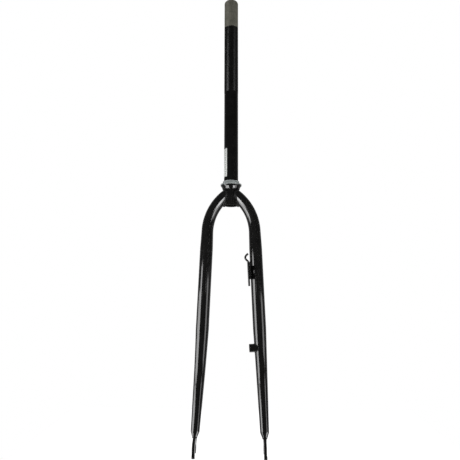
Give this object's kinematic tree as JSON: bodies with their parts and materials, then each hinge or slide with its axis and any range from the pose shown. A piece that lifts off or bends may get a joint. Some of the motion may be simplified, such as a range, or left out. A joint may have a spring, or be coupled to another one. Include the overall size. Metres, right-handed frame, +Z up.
{
  "type": "bicycle fork",
  "caption": "Rigid black unicrown bicycle fork with a long threaded steerer, crown race, curved tapering blades, slotted dropouts, a brake arm boss, a dynamo bracket and a cable hook.",
  "frame": {"origin": "on the steering axis, on the flange face that the crown race stands on", "axes": "+Z up the steering axis, -Y to the front, +X to the rider's left"},
  "size_m": [0.119, 0.0897, 0.774],
  "materials": {
    "black_paint": "gloss",
    "plated_steel": "polished",
    "white_sticker": "matt"
  },
  "bodies": {
    "root": {"steerer_tube": "black_paint", "crown_seat_ring": "black_paint", "crown_race": "plated_steel", "left_blade": "black_paint", "right_blade": "black_paint", "left_dropout": "black_paint", "right_dropout": "black_paint", "brake_arm_boss": "black_paint", "dynamo_bracket": "black_paint", "cable_hook": "black_paint", "label": "white_sticker"}
  },
  "joints": []
}
